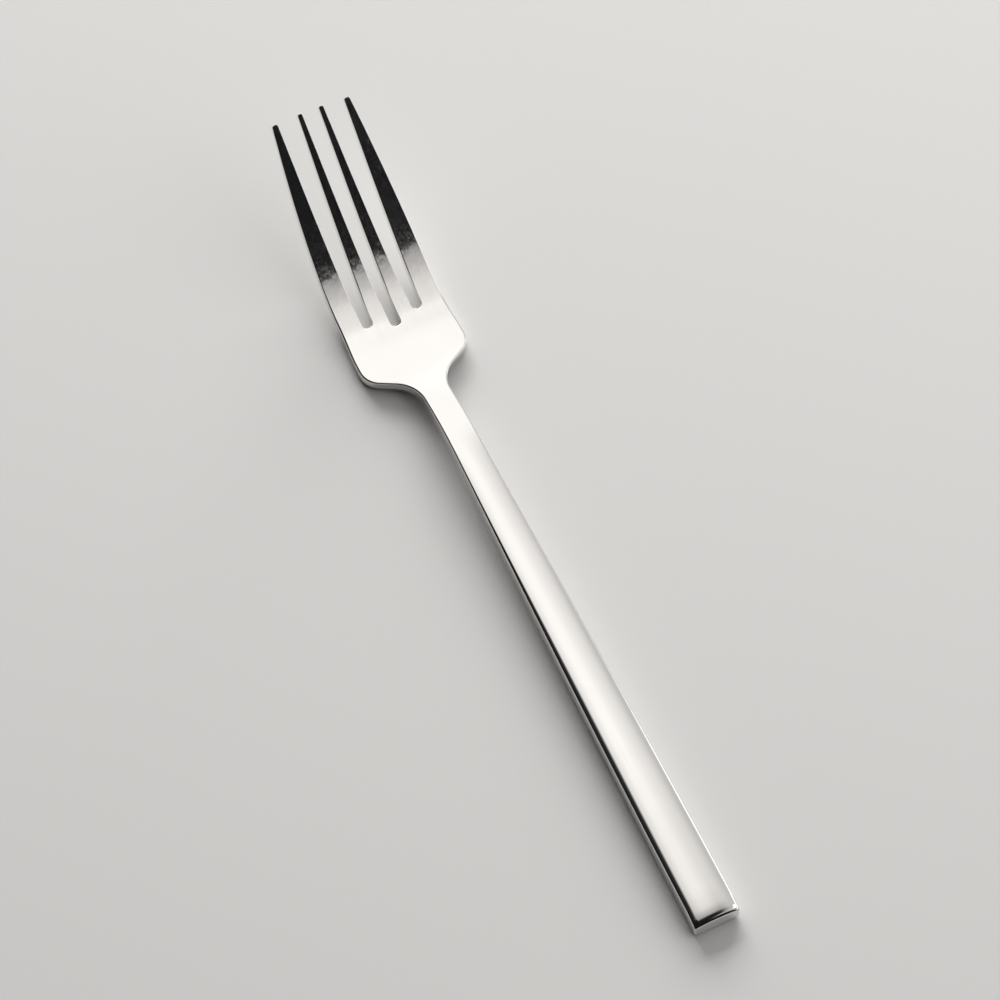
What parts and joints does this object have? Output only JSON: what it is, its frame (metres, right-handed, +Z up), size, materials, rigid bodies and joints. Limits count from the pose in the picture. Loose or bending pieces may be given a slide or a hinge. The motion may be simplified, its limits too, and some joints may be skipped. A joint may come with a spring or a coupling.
{
  "type": "dinner fork",
  "caption": "Dinner fork in polished steel: slim square-ended handle, low neck, rounded shoulders and tapered tines that curve up.",
  "frame": {"origin": "centre of the fork's footprint, on the surface that it rests on", "axes": "+Y from the butt towards the tips of the tines, +X to the right seen from above with the tines away, +Z up out of the hollow side"},
  "size_m": [0.0266, 0.208, 0.0235],
  "materials": {
    "polished_steel": "mirror-polished stainless steel, solid through, with faint hairline marks from use"
  },
  "bodies": {
    "root": {"handle": "polished_steel", "neck": "polished_steel", "head": "polished_steel", "outer_tine_left": "polished_steel", "inner_tine_left": "polished_steel", "inner_tine_right": "polished_steel", "outer_tine_right": "polished_steel"}
  },
  "joints": []
}
